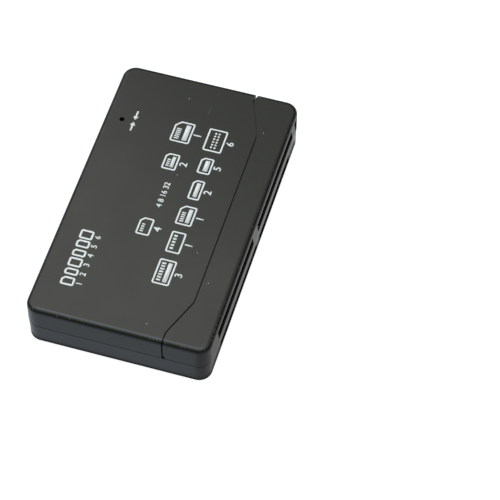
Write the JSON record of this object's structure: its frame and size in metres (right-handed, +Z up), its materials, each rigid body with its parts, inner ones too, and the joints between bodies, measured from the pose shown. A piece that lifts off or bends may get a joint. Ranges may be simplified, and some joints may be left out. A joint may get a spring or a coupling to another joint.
{
  "type": "memory card reader",
  "caption": "Flat black card reader: cranked seam across the lid, tall and thin card slots along one long side, a wide card slot and a lead inlet on the other.",
  "frame": {"origin": "under the middle of the case, on the surface it stands on", "axes": "+X along the case, -Y out of the card windows, +Z up out of the lid"},
  "size_m": [0.092, 0.0538, 0.0154],
  "materials": {
    "case_black": "fine matt moulded texture",
    "board_green": "solder resist over glass laminate",
    "socket_black": "moulded socket plastic",
    "socket_steel": "rolled and folded sheet",
    "contact_gold": "gold-flashed springs and pins",
    "inlet_steel": "tinned folded sheet",
    "inlet_black": "moulded plastic",
    "chip_black": "moulded epoxy",
    "lead_tin": "tinned leads",
    "crystal_steel": "drawn can",
    "light_clear": "clear moulded lens on a white base",
    "capacitor_tan": "fired ceramic",
    "resistor_black": "coated ceramic"
  },
  "bodies": {
    "root": {"top_cover": "case_black", "front_cover": "case_black", "bottom_cover": "case_black", "circuit_board": "board_green", "pin_card_header": "socket_black", "pin_card_pins": "contact_gold", "usb_inlet_shell": "inlet_steel", "usb_inlet_insulator": "inlet_black", "usb_inlet_contacts": "contact_gold", "controller_chip": "chip_black", "controller_leads": "lead_tin", "crystal_can": "crystal_steel", "activity_light": "light_clear", "capacitors": "capacitor_tan", "resistors": "resistor_black", "square_card_body": "socket_black", "square_card_shell": "socket_steel", "square_card_contacts": "contact_gold", "stick_card_body": "socket_black", "stick_card_shell": "socket_steel", "stick_card_contacts": "contact_gold", "thin_card_body": "socket_black", "thin_card_shell": "socket_steel", "thin_card_contacts": "contact_gold", "micro_card_body": "socket_black", "micro_card_shell": "socket_steel", "micro_card_contacts": "contact_gold", "mini_stick_body": "socket_black", "mini_stick_shell": "socket_steel", "mini_stick_contacts": "contact_gold"}
  },
  "joints": []
}
